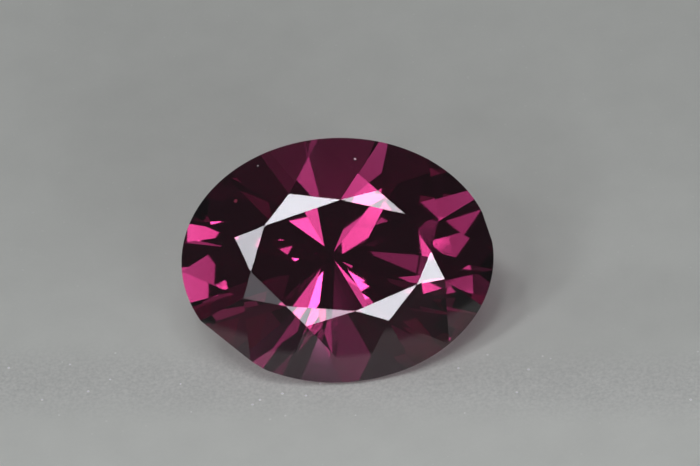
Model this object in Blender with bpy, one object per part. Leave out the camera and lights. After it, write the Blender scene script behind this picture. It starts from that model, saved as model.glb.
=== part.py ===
"""Oval brilliant-cut spinel: one solid stone, lying on one of its pavilion facets.

The stone is cut as a lapidary cuts it. An oval blank is ground by flat cuts:
the table, eight kites, eight stars and sixteen upper halves on the crown, and
eight mains and sixteen lower halves on the pavilion. All sizes are real ones,
in millimetres in the stone's own frame: x along its length, y across it, z up
through the table, and z = 0 at the middle of the girdle. The finished stone is
turned to lie on its front main facet and written in metres, +Z up.
"""

import math

import bmesh
import bpy
import numpy as np
from mathutils import Matrix, Vector

METRES_PER_MM = 0.001

# Girdle outline, an ellipse that sits slightly askew to the facets
GIRDLE_LENGTH = 8.08
GIRDLE_WIDTH = 6.33
GIRDLE_SKEW_DEG = -3.8
GIRDLE_THICKNESS = 0.22
OUTLINE_SIDES = 144

# Heights above the middle of the girdle
TABLE_HEIGHT = 1.03
CULET_DEPTH = 3.40
CULET_OFFSET = (-0.10, 0.10)

# The eight corners of the table, anticlockwise from the back left
TABLE_CORNERS = (
    (-1.80, 1.06),
    (-2.27, -0.09),
    (-1.46, -1.06),
    (0.31, -1.37),
    (1.96, -0.85),
    (2.40, -0.05),
    (1.83, 0.99),
    (0.22, 1.52),
)

# Stations round the girdle ellipse, in degrees of its eccentric angle: where the
# crown's kites and upper halves meet it, and the pavilion's mains and lower halves,
# which are cut a little out of step with the crown
KITE_FEET = (136, 182.5, 234.5, 276, 314, 361.5, 413, 455.5)
UPPER_BREAKS = (156, 207, 249, 297, 335.5, 387, 429.5, 478)
MAIN_FEET = (134, 169, 249, 275.5, 310.5, 353, 419.5, 460.5)
LOWER_BREAKS = (160, 197.5, 245, 294, 340.5, 391.5, 432.5, 474.5)

# How far each kite is rolled from the girdle's own direction, in degrees
KITE_ROLLS = (-1, 3, 2, -1, -3, 1, -0.5, -4)

# Share of the way from the table down to the girdle at which each star ends
STAR_REACH = (0.16, 0.163, 0.143, 0.185, 0.179, 0.165, 0.123, 0.133)

# Share of the way from the girdle to the culet at which each pair of lower halves ends
LOWER_HALF_REACH = (0.67, 0.95, 0.78, 0.78, 0.65, 0.81, 0.95, 0.89)

# The front main, on which the stone lies, is ground this much deeper than its
# neighbours, so it meets the girdle in a short edge and not in a point
FRONT_MAIN = 3
FRONT_MAIN_EXTRA = 0.06

# The blank stands this many times higher and deeper than the cut stone
BLANK_STOCK = 1.2

# Corners closer together than WELD are one; a corner closer to a cut than ON_PLANE lies on it
WELD = 0.002
ON_PLANE = 0.0004

STONE_COLOUR = (0.32, 0.02, 0.12, 1.0)
SPINEL_REFRACTION = 1.718


def unit(vector):
    return vector / np.linalg.norm(vector)


def on_outline(degrees, height):
    """Point of the girdle's outline at an eccentric angle, at a given height."""
    angle, skew = math.radians(degrees), math.radians(GIRDLE_SKEW_DEG)
    along = 0.5 * GIRDLE_LENGTH * math.cos(angle)
    across = 0.5 * GIRDLE_WIDTH * math.sin(angle)
    return np.array(
        (
            along * math.cos(skew) - across * math.sin(skew),
            along * math.sin(skew) + across * math.cos(skew),
            height,
        )
    )


def outline_direction(degrees, roll_deg=0.0):
    """Level direction along the outline at an eccentric angle, rolled if asked."""
    angle = math.radians(degrees)
    turn = math.radians(GIRDLE_SKEW_DEG + roll_deg)
    along = -0.5 * GIRDLE_LENGTH * math.sin(angle)
    across = 0.5 * GIRDLE_WIDTH * math.cos(angle)
    return unit(
        np.array(
            (
                along * math.cos(turn) - across * math.sin(turn),
                along * math.sin(turn) + across * math.cos(turn),
                0.0,
            )
        )
    )


def cut_along(point, direction_a, direction_b):
    """A cut through a point holding two directions: (point, outward normal)."""
    normal = unit(np.cross(direction_a, direction_b))
    return point, normal if normal @ point > 0 else -normal


def cut_through(first, second, third):
    return cut_along(first, second - first, third - first)


def level_cut(height):
    return np.array((0.0, 0.0, height)), np.array((0.0, 0.0, math.copysign(1.0, height)))


def meeting_point(*cuts):
    normals = np.array([normal for _, normal in cuts])
    offsets = np.array([normal @ point for point, normal in cuts])
    return np.linalg.solve(normals, offsets)


def between(start, end, share):
    return start + (end - start) * share


def crown_cuts():
    """Table, kites, stars and upper halves."""
    edge = 0.5 * GIRDLE_THICKNESS
    corners = [np.array((x, y, TABLE_HEIGHT)) for x, y in TABLE_CORNERS]
    feet = [on_outline(degrees, edge) for degrees in KITE_FEET]
    breaks = [on_outline(degrees, edge) for degrees in UPPER_BREAKS]
    kites = [
        cut_along(foot, corner - foot, outline_direction(degrees, roll))
        for corner, foot, degrees, roll in zip(corners, feet, KITE_FEET, KITE_ROLLS)
    ]
    cuts = [level_cut(TABLE_HEIGHT), *kites]
    for here, reach in enumerate(STAR_REACH):
        after = (here + 1) % len(kites)
        pair = kites[here], kites[after]
        top = meeting_point(level_cut(TABLE_HEIGHT), *pair)
        tip = between(top, meeting_point(level_cut(edge), *pair), reach)
        cuts.append(cut_through(corners[here], corners[after], tip))
        cuts.append(cut_through(tip, feet[here], breaks[here]))
        cuts.append(cut_through(tip, breaks[here], feet[after]))
    return cuts


def pavilion_mains():
    edge = -0.5 * GIRDLE_THICKNESS
    culet = np.array((*CULET_OFFSET, -CULET_DEPTH))
    feet = [on_outline(degrees, edge) for degrees in MAIN_FEET]
    return [
        cut_along(foot, culet - foot, outline_direction(degrees))
        for foot, degrees in zip(feet, MAIN_FEET)
    ]


def pavilion_cuts():
    """Mains and lower halves."""
    edge = -0.5 * GIRDLE_THICKNESS
    culet = np.array((*CULET_OFFSET, -CULET_DEPTH))
    feet = [on_outline(degrees, edge) for degrees in MAIN_FEET]
    breaks = [on_outline(degrees, edge) for degrees in LOWER_BREAKS]
    mains = pavilion_mains()
    cuts = list(mains)
    point, normal = mains[FRONT_MAIN]
    cuts.append((point - FRONT_MAIN_EXTRA * normal, normal))
    for here, reach in enumerate(LOWER_HALF_REACH):
        after = (here + 1) % len(mains)
        low = meeting_point(level_cut(edge), mains[here], mains[after])
        tip = between(low, culet, reach)
        cuts.append(cut_through(tip, feet[here], breaks[here]))
        cuts.append(cut_through(tip, breaks[here], feet[after]))
    return cuts


def oval_blank():
    """Upright oval prism that holds the whole stone, with the girdle as its side."""
    bm = bmesh.new()
    angles = [360 * step / OUTLINE_SIDES for step in range(OUTLINE_SIDES)]
    lower = [bm.verts.new(on_outline(angle, -BLANK_STOCK * CULET_DEPTH)) for angle in angles]
    upper = [bm.verts.new(on_outline(angle, BLANK_STOCK * TABLE_HEIGHT)) for angle in angles]
    bm.faces.new(upper)
    bm.faces.new(lower[::-1])
    for here in range(OUTLINE_SIDES):
        after = (here + 1) % OUTLINE_SIDES
        bm.faces.new((lower[here], lower[after], upper[after], upper[here]))
    return bm


def grind(bm, point, normal):
    """Takes off what lies beyond the cut and closes the stone with a flat facet."""
    result = bmesh.ops.bisect_plane(
        bm,
        geom=[*bm.verts, *bm.edges, *bm.faces],
        dist=ON_PLANE,
        plane_co=Vector(point),
        plane_no=Vector(normal),
        clear_outer=True,
    )
    rim = [item for item in result["geom_cut"] if isinstance(item, bmesh.types.BMEdge)]
    open_rim = [edge for edge in rim if edge.is_boundary]
    if open_rim:
        bmesh.ops.contextual_create(bm, geom=open_rim)


def resting_frame():
    """Rotation to the resting pose: the front main facet down, the table to -Y."""
    down = Vector(pavilion_mains()[FRONT_MAIN][1])
    up = -down
    table = Vector((0.0, 0.0, 1.0))
    back = (up * table.dot(up) - table).normalized()
    right = back.cross(up)
    return Matrix((right, back, up)).to_4x4()


def seat(bm):
    """Puts the stone on z = 0 with its box centred on the origin, in metres."""
    bm.transform(resting_frame())
    lows = [min(vertex.co[axis] for vertex in bm.verts) for axis in range(3)]
    highs = [max(vertex.co[axis] for vertex in bm.verts) for axis in range(3)]
    centre = Vector(((lows[0] + highs[0]) / 2, (lows[1] + highs[1]) / 2, lows[2]))
    bm.transform(Matrix.Translation(-centre))
    bm.transform(Matrix.Scale(METRES_PER_MM, 4))


def spinel_material():
    material = bpy.data.materials.new("spinel")
    material.use_nodes = True
    shader = material.node_tree.nodes["Principled BSDF"]
    shader.inputs["Base Color"].default_value = STONE_COLOUR
    shader.inputs["Roughness"].default_value = 0.02
    shader.inputs["Metallic"].default_value = 0.0
    shader.inputs["IOR"].default_value = SPINEL_REFRACTION
    shader.inputs["Transmission Weight"].default_value = 0.9
    return material


def make_stone():
    bm = oval_blank()
    for point, normal in crown_cuts() + pavilion_cuts():
        grind(bm, point, normal)
    bmesh.ops.remove_doubles(bm, verts=bm.verts[:], dist=WELD)
    bmesh.ops.recalc_face_normals(bm, faces=bm.faces[:])
    seat(bm)
    mesh = bpy.data.meshes.new("spinel")
    bm.to_mesh(mesh)
    bm.free()
    mesh.materials.append(spinel_material())
    stone = bpy.data.objects.new("spinel", mesh)
    bpy.context.scene.collection.objects.link(stone)
    return stone


def main():
    for old in list(bpy.data.objects):
        bpy.data.objects.remove(old, do_unlink=True)
    make_stone()


main()
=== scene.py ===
"""Looks of the cut spinel: its see-through material, the pale floor, the soft light and the camera.

All sizes are in metres and in the stone's own frame: +X along the stone, the table
leaning towards -Y, +Z up, with the floor at z = 0. Azimuth 0 is the -Y side and 90 the
+X side; elevation is the angle above the floor.
"""

import math

import bpy
from mathutils import Matrix, Vector

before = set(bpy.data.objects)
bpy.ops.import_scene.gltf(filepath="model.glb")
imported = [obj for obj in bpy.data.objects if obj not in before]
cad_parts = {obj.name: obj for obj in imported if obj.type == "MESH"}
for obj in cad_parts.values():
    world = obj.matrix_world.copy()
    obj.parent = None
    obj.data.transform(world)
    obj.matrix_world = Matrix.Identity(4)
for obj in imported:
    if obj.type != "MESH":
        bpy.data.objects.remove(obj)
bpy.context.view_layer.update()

MM = 0.001

# Camera: in front of the stone, well above the floor and rolled a little
CAMERA_AZIMUTH = -1.55
CAMERA_ELEVATION = 43.52
CAMERA_ROLL = -5.43
CAMERA_DISTANCE = 0.2
CAMERA_AIM = (0.40 * MM, 0.367 * MM, 2.752 * MM)
CAMERA_NEAR = 0.01
CAMERA_FAR = 5.0
FIELD_WIDTH = 18.12 * MM
SENSOR_WIDTH = 36.0

# The table's own direction; the girdle's flats are the only ones square to it
TABLE_NORMAL = (0.0, -0.7091, 0.7051)
GIRDLE_SQUARENESS = 0.08

# Spinel: its refraction, and how clear it is under a very thin film of dust
SPINEL_REFRACTION = 1.718
CLEARNESS = 0.992
COLOURLESS = (1.0, 1.0, 1.0, 1.0)

# Per metre, the stone takes up the density times what each colour value lacks of 1
ABSORPTION_DENSITY = 500.0
ABSORPTION_COLOUR = (0.765, 0.20, 0.525, 1.0)

# Polish: how rough the facets are at their best and at their worst, in soft patches
POLISH_FINE = 0.012
POLISH_WORN = 0.045
POLISH_PATCH = 0.55 * MM
POLISH_DETAIL = 3.0
GIRDLE_ROUGHNESS = 0.42
GIRDLE_GRAIN = 0.035 * MM

# Dust on the crown: centre, radius and colour of each speck
DUST_ROUGHNESS = 0.8
DUST_SPECKS = (
    ((0.738 * MM, 1.418 * MM, 4.354 * MM), 0.032 * MM, (0.85, 0.80, 0.80, 1.0)),
    ((0.631 * MM, 1.147 * MM, 4.303 * MM), 0.024 * MM, (0.02, 0.01, 0.01, 1.0)),
    ((-1.776 * MM, 1.621 * MM, 4.317 * MM), 0.022 * MM, (0.42, 0.40, 0.40, 1.0)),
    ((-2.45 * MM, 0.853 * MM, 3.888 * MM), 0.05 * MM, (0.22, 0.02, 0.05, 1.0)),
)

# A speck's ragged edge, in radii: how wide its bays are, and how near and far it runs
SPECK_BAY = 0.6
SPECK_NEAR = 0.4
SPECK_FAR = 1.5

# Floor: matt, with painted light in front of the stone and painted shade behind it
FLOOR_SIZE = 0.9
FLOOR_DROP = 0.02 * MM
FLOOR_ROUGHNESS = 0.9
FLOOR_GLOSS = 0.2
FLOOR_COLOUR = (0.80, 0.823, 0.742, 1.0)
FLOOR_PAINTED_SHADE_BEHIND = 0.86
FLOOR_PAINTED_LIGHT_IN_FRONT = 1.08
FLOOR_PAINTED_SHADE_REACH = 9.0 * MM
MOTTLE_SIZE = 1.3 * MM
MOTTLE_DARK = 0.95
MOTTLE_PALE = 1.05

# Painted shade: the pale floor's colour darkens softly in front of the stone, so the front kites
# mirror darkness
PAINTED_FALLOFF_START = -6.8 * MM
PAINTED_FALLOFF_FULL = -8.0 * MM
PAINTED_FALLOFF_SHADE = 0.16

# Grain of the floor, which stands out most along a slanting band in front of the stone
FLOOR_PALE_GRAIN = (1.0, 1.0, 0.93, 1.0)
FLOOR_DARK_GRAIN = (0.46, 0.48, 0.43, 1.0)
GRAIN_SIZE = 0.095 * MM
GRAIN_DETAIL = 2.0
GRAIN_HARSHNESS = 0.6
GRAIN_BAND = -2.35 * MM
GRAIN_BAND_SLANT = 0.17
GRAIN_BAND_INNER = 0.2 * MM
GRAIN_BAND_OUTER = 1.7 * MM
GRAIN_FAINT = 0.05
GRAIN_STRONG = 0.65

# Painted glints: one grain cell in fourteen, each with a small bright middle painted into the
# floor's colour
PAINTED_GLINT_CELL = 0.20 * MM
PAINTED_GLINT_RADIUS = 0.16
PAINTED_GLINT_SHARE = 0.93
PAINTED_GLINT_COLOUR = (1.7, 1.7, 1.65, 1.0)

# Noise, where nothing else is asked for
NOISE_DETAIL = 2.0
NOISE_ROUGHNESS = 0.5

# Sockets of a colour Mix node, and the two surfaces that a Mix Shader node takes
MIX_FACTOR = 0
MIX_LOW = 6
MIX_HIGH = 7
MIX_RESULT = 2
SHADER_UNDER = 1
SHADER_OVER = 2

# A dim grey room with round soft boxes in it
ROOM_GREY = (0.022, 0.022, 0.023, 1.0)
LIGHT_DISTANCE = 0.5
LIGHT_COLOUR = (0.97, 0.97, 1.05)

# Each soft box: its name, then its azimuth, elevation and width in degrees, then its brightness
SOFT_BOXES = (
    ("front_low", 11.0, 13.0, 7.0, 7.0),
    ("front_broad", 11.0, 8.0, 14.0, 3.3),
    ("front_low_left", -5.0, 15.0, 7.0, 4.0),
    ("front_left_broad", -9.0, 11.0, 14.0, 1.7),
    ("front_dim", -20.0, 35.0, 8.0, 0.5),
    ("dim_star", -21.0, 25.0, 8.0, 1.2),
    ("right_star", 30.0, 26.0, 6.0, 11.0),
    ("right_low", 24.0, 26.0, 8.0, 2.5),
    ("right_broad", 23.0, 14.0, 14.0, 4.6),
    ("right_high", 27.5, 45.5, 8.0, 2.6),
    ("right_key", 56.0, 33.0, 6.0, 5.0),
    ("left_star", -38.0, 50.0, 7.0, 7.6),
    ("left_low", -40.0, 32.0, 8.0, 8.5),
    ("left_dim", -29.0, 28.0, 8.0, 2.0),
    ("left_row", -51.5, 35.0, 8.0, 2.0),
    ("left_mid", -60.0, 36.0, 8.0, 3.2),
    ("left_key", -63.0, 43.0, 6.0, 6.0),
    ("left_wide", -63.0, 43.0, 11.0, 3.0),
    ("left_broad", -72.0, 53.0, 14.0, 1.8),
    ("left_side", -102.0, 20.0, 14.0, 7.5),
    ("high_left_star", -18.0, 67.0, 8.0, 11.5),
    ("high_right_star", 33.0, 71.0, 7.0, 7.8),
    ("high_left_key", -87.0, 71.0, 6.0, 15.0),
    ("high_back", -101.0, 71.0, 8.0, 2.8),
    ("overhead", -10.0, 79.0, 12.0, 2.0),
    ("overhead_fill", 0.0, 88.0, 26.0, 0.9),
    ("back_high", 158.0, 40.0, 14.0, 0.8),
)


def direction(azimuth, elevation):
    """Unit vector from the stone towards an azimuth and elevation."""
    turn = math.radians(azimuth)
    rise = math.radians(elevation)
    level = math.cos(rise)
    return Vector((math.sin(turn) * level, -math.cos(turn) * level, math.sin(rise)))


def facing(towards, roll=0.0):
    """Rotation that looks back along a direction, as a camera or an area light does."""
    look = towards.to_track_quat("Z", "Y").to_matrix()
    return look @ Matrix.Rotation(math.radians(roll), 3, "Z")


def place_camera():
    data = bpy.data.cameras.new("camera")
    data.sensor_width = SENSOR_WIDTH
    data.lens = SENSOR_WIDTH * CAMERA_DISTANCE / FIELD_WIDTH
    data.clip_start = CAMERA_NEAR
    data.clip_end = CAMERA_FAR
    camera = bpy.data.objects.new("camera", data)
    towards = direction(CAMERA_AZIMUTH, CAMERA_ELEVATION)
    turn = facing(towards, CAMERA_ROLL)
    camera.matrix_world = Matrix.LocRotScale(
        Vector(CAMERA_AIM) + towards * CAMERA_DISTANCE, turn.to_quaternion(), None
    )
    bpy.context.scene.collection.objects.link(camera)
    bpy.context.scene.camera = camera


def soft_box(name, azimuth, elevation, width_deg, brightness):
    """A round area light of a given angular width and radiance, seen from the stone."""
    data = bpy.data.lights.new(name, "AREA")
    data.shape = "DISK"
    data.size = 2 * LIGHT_DISTANCE * math.tan(math.radians(width_deg / 2))
    area = math.pi / 4 * data.size ** 2
    data.energy = math.pi * area * brightness
    data.color = LIGHT_COLOUR
    light = bpy.data.objects.new(name, data)
    towards = direction(azimuth, elevation)
    light.matrix_world = Matrix.LocRotScale(
        towards * LIGHT_DISTANCE, facing(towards).to_quaternion(), None
    )
    light.visible_camera = False
    bpy.context.scene.collection.objects.link(light)


def light_room():
    world = bpy.data.worlds.new("room")
    world.use_nodes = True
    world.node_tree.nodes["Background"].inputs["Color"].default_value = ROOM_GREY
    bpy.context.scene.world = world
    for box in SOFT_BOXES:
        soft_box(*box)


def new_material(name):
    """A node material: its tree, its Principled shader and its object coordinates."""
    material = bpy.data.materials.new(name)
    material.use_nodes = True
    tree = material.node_tree
    place = tree.nodes.new("ShaderNodeTexCoord").outputs["Object"]
    return material, tree, tree.nodes["Principled BSDF"], place


def fill(tree, socket, value):
    """Sets a socket to a number or colour, or links it to another socket."""
    if isinstance(value, bpy.types.NodeSocket):
        tree.links.new(value, socket)
    else:
        socket.default_value = value


def maths(tree, operation, first, second=None):
    """The result of a Math node on one or two numbers or sockets."""
    made = tree.nodes.new("ShaderNodeMath")
    made.operation = operation
    fill(tree, made.inputs[0], first)
    if second is not None:
        fill(tree, made.inputs[1], second)
    return made.outputs["Value"]


def blend_number(tree, factor, low, high):
    """A straight change from low to high as the factor goes from 0 to 1."""
    made = tree.nodes.new("ShaderNodeMapRange")
    fill(tree, made.inputs["Value"], factor)
    fill(tree, made.inputs["To Min"], low)
    fill(tree, made.inputs["To Max"], high)
    return made.outputs["Result"]


def ramp(tree, value, start, painted_falloff, low, high):
    """A smooth change from low to high as the value goes from start to end."""
    made = tree.nodes.new("ShaderNodeMapRange")
    made.interpolation_type = "SMOOTHSTEP"
    fill(tree, made.inputs["Value"], value)
    made.inputs["From Min"].default_value = start
    made.inputs["From Max"].default_value = painted_falloff
    made.inputs["To Min"].default_value = low
    made.inputs["To Max"].default_value = high
    return made.outputs["Result"]


def blend_colour(tree, factor, low, high):
    made = tree.nodes.new("ShaderNodeMix")
    made.data_type = "RGBA"
    fill(tree, made.inputs[MIX_FACTOR], factor)
    fill(tree, made.inputs[MIX_LOW], low)
    fill(tree, made.inputs[MIX_HIGH], high)
    return made.outputs[MIX_RESULT]


def noise(tree, place, patch, detail=NOISE_DETAIL, roughness=NOISE_ROUGHNESS):
    """Noise whose patches are about as wide as the given length."""
    made = tree.nodes.new("ShaderNodeTexNoise")
    tree.links.new(place, made.inputs["Vector"])
    made.inputs["Scale"].default_value = 1.0 / patch
    made.inputs["Detail"].default_value = detail
    made.inputs["Roughness"].default_value = roughness
    return made.outputs["Fac"]


def bump(tree, height, strength, depth):
    made = tree.nodes.new("ShaderNodeBump")
    fill(tree, made.inputs["Strength"], strength)
    made.inputs["Distance"].default_value = depth
    tree.links.new(height, made.inputs["Height"])
    return made.outputs["Normal"]


def girdle_mask(tree):
    """1 on the narrow flats round the stone and 0 on its facets."""
    geometry = tree.nodes.new("ShaderNodeNewGeometry")
    along = tree.nodes.new("ShaderNodeVectorMath")
    along.operation = "DOT_PRODUCT"
    tree.links.new(geometry.outputs["True Normal"], along.inputs[0])
    along.inputs[1].default_value = TABLE_NORMAL
    facing_table = maths(tree, "ABSOLUTE", along.outputs["Value"])
    return maths(tree, "LESS_THAN", facing_table, GIRDLE_SQUARENESS)


def speck_mask(tree, place, centre, radius):
    """1 within a ragged spot round a point of the surface."""
    away = tree.nodes.new("ShaderNodeVectorMath")
    away.operation = "DISTANCE"
    tree.links.new(place, away.inputs[0])
    away.inputs[1].default_value = centre
    bays = noise(tree, place, SPECK_BAY * radius)
    edge = blend_number(tree, bays, SPECK_NEAR * radius, SPECK_FAR * radius)
    return maths(tree, "LESS_THAN", away.outputs["Value"], edge)


def polish(tree, shader, place):
    """Finely polished facets with duller patches, and a frosted girdle."""
    girdle = girdle_mask(tree)
    patches = noise(tree, place, POLISH_PATCH, POLISH_DETAIL)
    facets = blend_number(tree, patches, POLISH_FINE, POLISH_WORN)
    roughness = blend_number(tree, girdle, facets, GIRDLE_ROUGHNESS)
    tree.links.new(roughness, shader.inputs["Roughness"])
    frost = bump(tree, noise(tree, place, GIRDLE_GRAIN), girdle, GIRDLE_GRAIN)
    tree.links.new(frost, shader.inputs["Normal"])


def dusted(tree, surface, place, centre, radius, colour):
    """The surface with one speck of dust on it."""
    dust = tree.nodes.new("ShaderNodeBsdfPrincipled")
    dust.inputs["Base Color"].default_value = colour
    dust.inputs["Roughness"].default_value = DUST_ROUGHNESS
    covered = tree.nodes.new("ShaderNodeMixShader")
    tree.links.new(speck_mask(tree, place, centre, radius), covered.inputs["Fac"])
    tree.links.new(surface, covered.inputs[SHADER_UNDER])
    tree.links.new(dust.outputs["BSDF"], covered.inputs[SHADER_OVER])
    return covered.outputs["Shader"]


def spinel_material():
    """Polished, see-through, plum-pink crystal with a frosted girdle and a little dust."""
    material, tree, shader, place = new_material("spinel_crystal")
    shader.inputs["Base Color"].default_value = COLOURLESS
    shader.inputs["Metallic"].default_value = 0.0
    shader.inputs["IOR"].default_value = SPINEL_REFRACTION
    shader.inputs["Transmission Weight"].default_value = CLEARNESS
    polish(tree, shader, place)

    surface = shader.outputs["BSDF"]
    for speck in DUST_SPECKS:
        surface = dusted(tree, surface, place, *speck)

    absorb = tree.nodes.new("ShaderNodeVolumeAbsorption")
    absorb.inputs["Color"].default_value = ABSORPTION_COLOUR
    absorb.inputs["Density"].default_value = ABSORPTION_DENSITY
    output = tree.nodes["Material Output"]
    tree.links.new(surface, output.inputs["Surface"])
    tree.links.new(absorb.outputs["Volume"], output.inputs["Volume"])
    return material


def painted_glint_mask(tree, place):
    """1 on the few grains of the floor where a glint is painted."""
    cells = tree.nodes.new("ShaderNodeTexVoronoi")
    tree.links.new(place, cells.inputs["Vector"])
    cells.inputs["Scale"].default_value = 1.0 / PAINTED_GLINT_CELL
    inside = maths(tree, "LESS_THAN", cells.outputs["Distance"], PAINTED_GLINT_RADIUS)
    split = tree.nodes.new("ShaderNodeSeparateColor")
    tree.links.new(cells.outputs["Color"], split.inputs["Color"])
    chosen = maths(tree, "GREATER_THAN", split.outputs["Red"], PAINTED_GLINT_SHARE)
    return maths(tree, "MULTIPLY", inside, chosen)


def painted_floor_shade(tree, place):
    """Softly mottled, with painted shade behind the stone, painted light in front of it, and
    painted shade far in front.
    """
    split = tree.nodes.new("ShaderNodeSeparateXYZ")
    tree.links.new(place, split.inputs["Vector"])
    back = split.outputs["Y"]
    # Painted light in front of the stone and painted shade behind it
    painted_gradient = ramp(tree, back, -FLOOR_PAINTED_SHADE_REACH, FLOOR_PAINTED_SHADE_REACH, FLOOR_PAINTED_LIGHT_IN_FRONT, FLOOR_PAINTED_SHADE_BEHIND)
    # Painted shade where the lit patch is made to end in front of the stone
    painted_falloff = ramp(tree, back, PAINTED_FALLOFF_FULL, PAINTED_FALLOFF_START, PAINTED_FALLOFF_SHADE, 1.0)
    mottle = blend_number(tree, noise(tree, place, MOTTLE_SIZE), MOTTLE_DARK, MOTTLE_PALE)
    return maths(tree, "MULTIPLY", maths(tree, "MULTIPLY", painted_gradient, painted_falloff), mottle)


def grain_strength(tree, place):
    """Strong grain along a band in front of the stone and faint grain elsewhere."""
    split = tree.nodes.new("ShaderNodeSeparateXYZ")
    tree.links.new(place, split.inputs["Vector"])
    slant = maths(tree, "MULTIPLY", split.outputs["X"], GRAIN_BAND_SLANT)
    along = maths(tree, "ADD", split.outputs["Y"], slant)
    away = maths(tree, "ABSOLUTE", maths(tree, "SUBTRACT", along, GRAIN_BAND))
    return ramp(tree, away, GRAIN_BAND_INNER, GRAIN_BAND_OUTER, GRAIN_STRONG, GRAIN_FAINT)


def floor_colour(tree, place):
    """Plain floor with dark and pale grains, and painted glints on a few of them."""
    strength = grain_strength(tree, place)
    grain = noise(tree, place, GRAIN_SIZE, GRAIN_DETAIL, GRAIN_HARSHNESS)
    grains = blend_colour(tree, grain, FLOOR_DARK_GRAIN, FLOOR_PALE_GRAIN)
    colour = blend_colour(tree, strength, FLOOR_COLOUR, grains)
    # Painted glints on a few grains, strongest along the grain band
    painted_glint = maths(tree, "MULTIPLY", painted_glint_mask(tree, place), strength)
    return blend_colour(tree, painted_glint, colour, PAINTED_GLINT_COLOUR)


def floor_material():
    """Pale, matt and finely grained."""
    material, tree, shader, place = new_material("pale_floor")
    shader.inputs["Roughness"].default_value = FLOOR_ROUGHNESS
    shader.inputs["Specular IOR Level"].default_value = FLOOR_GLOSS
    colour = floor_colour(tree, place)
    floor_painted_shading = tree.nodes.new("ShaderNodeVectorMath")
    floor_painted_shading.operation = "SCALE"
    tree.links.new(colour, floor_painted_shading.inputs[0])
    # The floor's colour is scaled by its painted shade and painted light
    tree.links.new(painted_floor_shade(tree, place), floor_painted_shading.inputs["Scale"])
    tree.links.new(floor_painted_shading.outputs["Vector"], shader.inputs["Base Color"])
    return material


def lay_floor():
    half = 0.5 * FLOOR_SIZE
    corners = ((-half, -half), (half, -half), (half, half), (-half, half))
    mesh = bpy.data.meshes.new("floor")
    mesh.from_pydata([(x, y, -FLOOR_DROP) for x, y in corners], [], [(0, 1, 2, 3)])
    mesh.materials.append(floor_material())
    floor = bpy.data.objects.new("floor", mesh)
    bpy.context.scene.collection.objects.link(floor)


def dress_stone():
    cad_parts["spinel"].material_slots[0].material = spinel_material()


place_camera()
light_room()
lay_floor()
dress_stone()
bpy.context.scene.view_settings.view_transform = "Standard"
